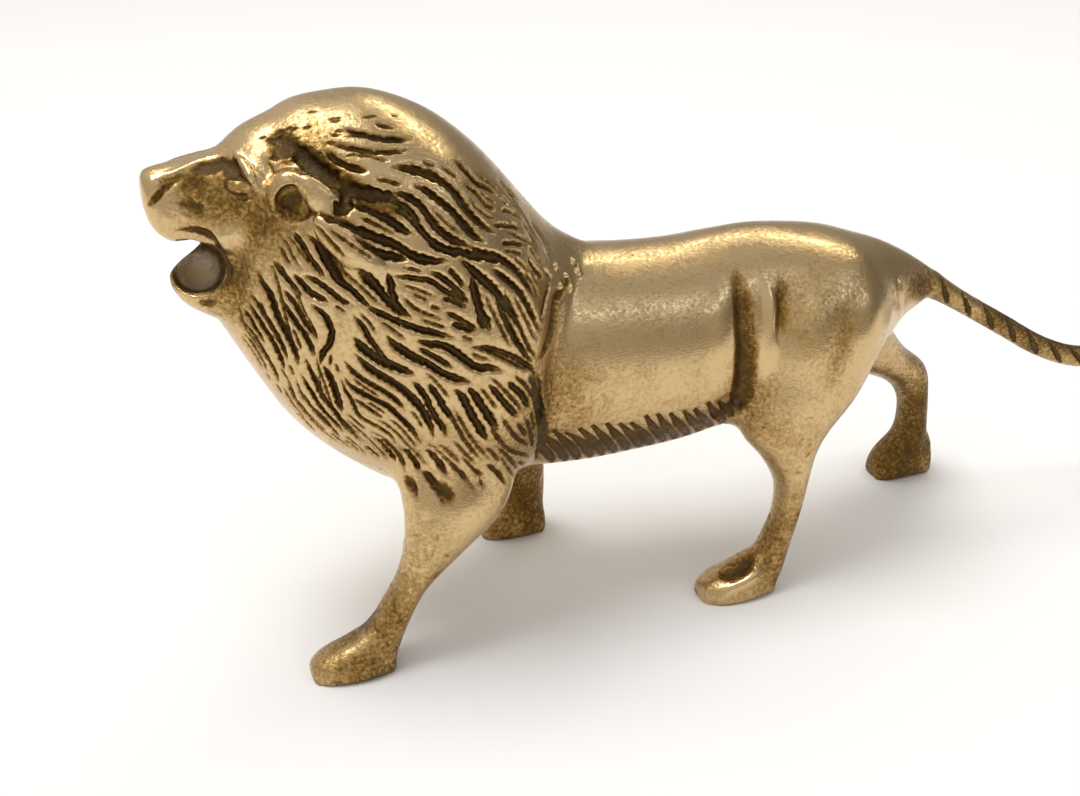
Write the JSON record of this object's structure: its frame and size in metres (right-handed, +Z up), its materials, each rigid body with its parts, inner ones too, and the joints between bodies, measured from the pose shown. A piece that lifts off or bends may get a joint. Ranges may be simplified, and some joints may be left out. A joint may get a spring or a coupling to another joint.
{
  "type": "lion figurine",
  "caption": "Small cast brass lion that stands with its mouth open, with a chased mane, a fringe under its belly and a notched tail that turns up at the tip.",
  "frame": {"origin": "on the ground plane that all the paws stand on, below the centre of the bounding box", "axes": "+X runs back along the body from the head to the tail, +Y points to the lion's right side and +Z is up"},
  "size_m": [0.2114, 0.048, 0.0997],
  "materials": {
    "brass": "cast and satin polished, with dark brown patina in the carving and on the legs"
  },
  "bodies": {
    "root": {"lion": "brass"}
  },
  "joints": []
}
